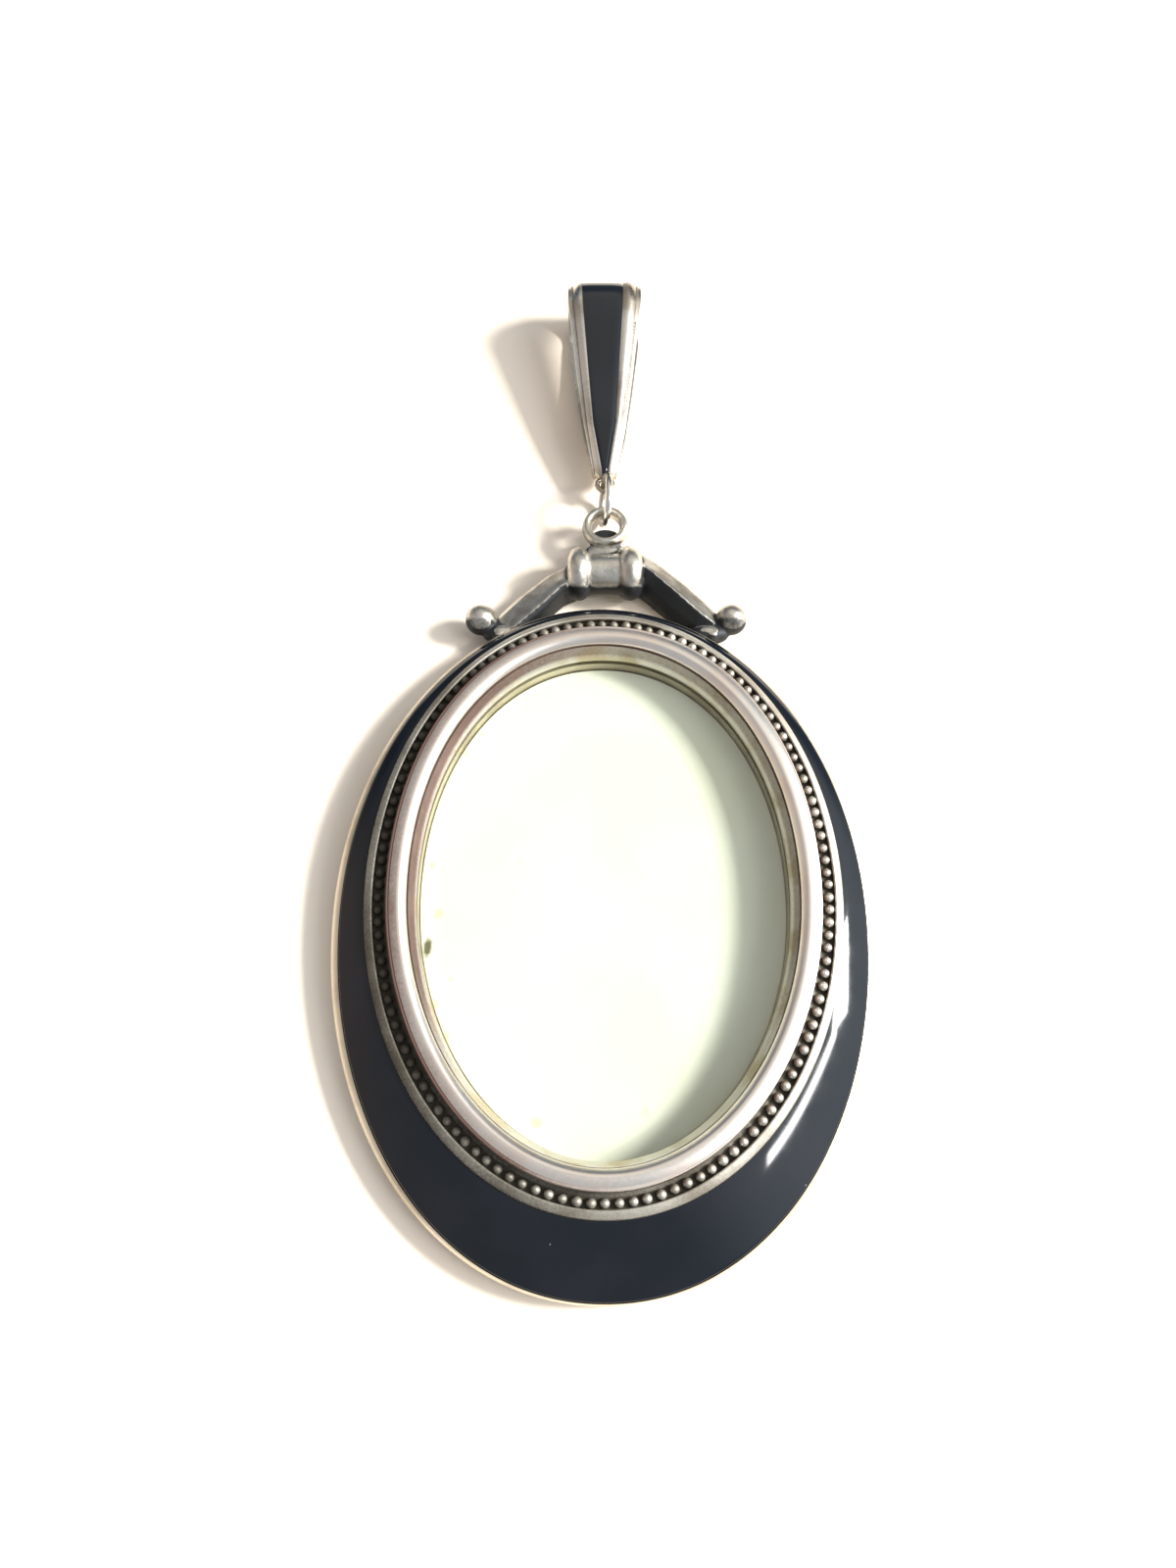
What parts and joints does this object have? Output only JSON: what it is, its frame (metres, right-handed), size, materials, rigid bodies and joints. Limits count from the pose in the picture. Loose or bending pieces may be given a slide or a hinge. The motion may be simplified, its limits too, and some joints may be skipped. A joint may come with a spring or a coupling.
{
  "type": "oval locket pendant",
  "caption": "Oval picture pendant: domed black enamel crescent, bead border, glazed window, cast crest with ball ends and a tapered enamelled chain loop.",
  "frame": {"origin": "on the flat back, under the middle of the whole piece's bounding box", "axes": "+Z out of the glazed front, +Y towards the chain loop, +X to the right when seen from the front"},
  "size_m": [0.04, 0.0862, 0.0064],
  "materials": {
    "silver": "worn silver, softly polished",
    "dark_silver": "cast silver with dark patina in the hollows",
    "black_enamel": "glossy vitreous enamel",
    "gilt": "worn gilt",
    "glass": "clear, slightly domed",
    "card": "matt white with a few stains"
  },
  "bodies": {
    "root": {"frame": "silver", "enamel": "black_enamel", "bead_border": "silver", "bezel": "silver", "gilt_ring": "gilt", "glass": "glass", "card": "card", "crest": "dark_silver", "jump_ring": "silver", "bail": "silver", "bail_enamel": "black_enamel"}
  },
  "joints": []
}
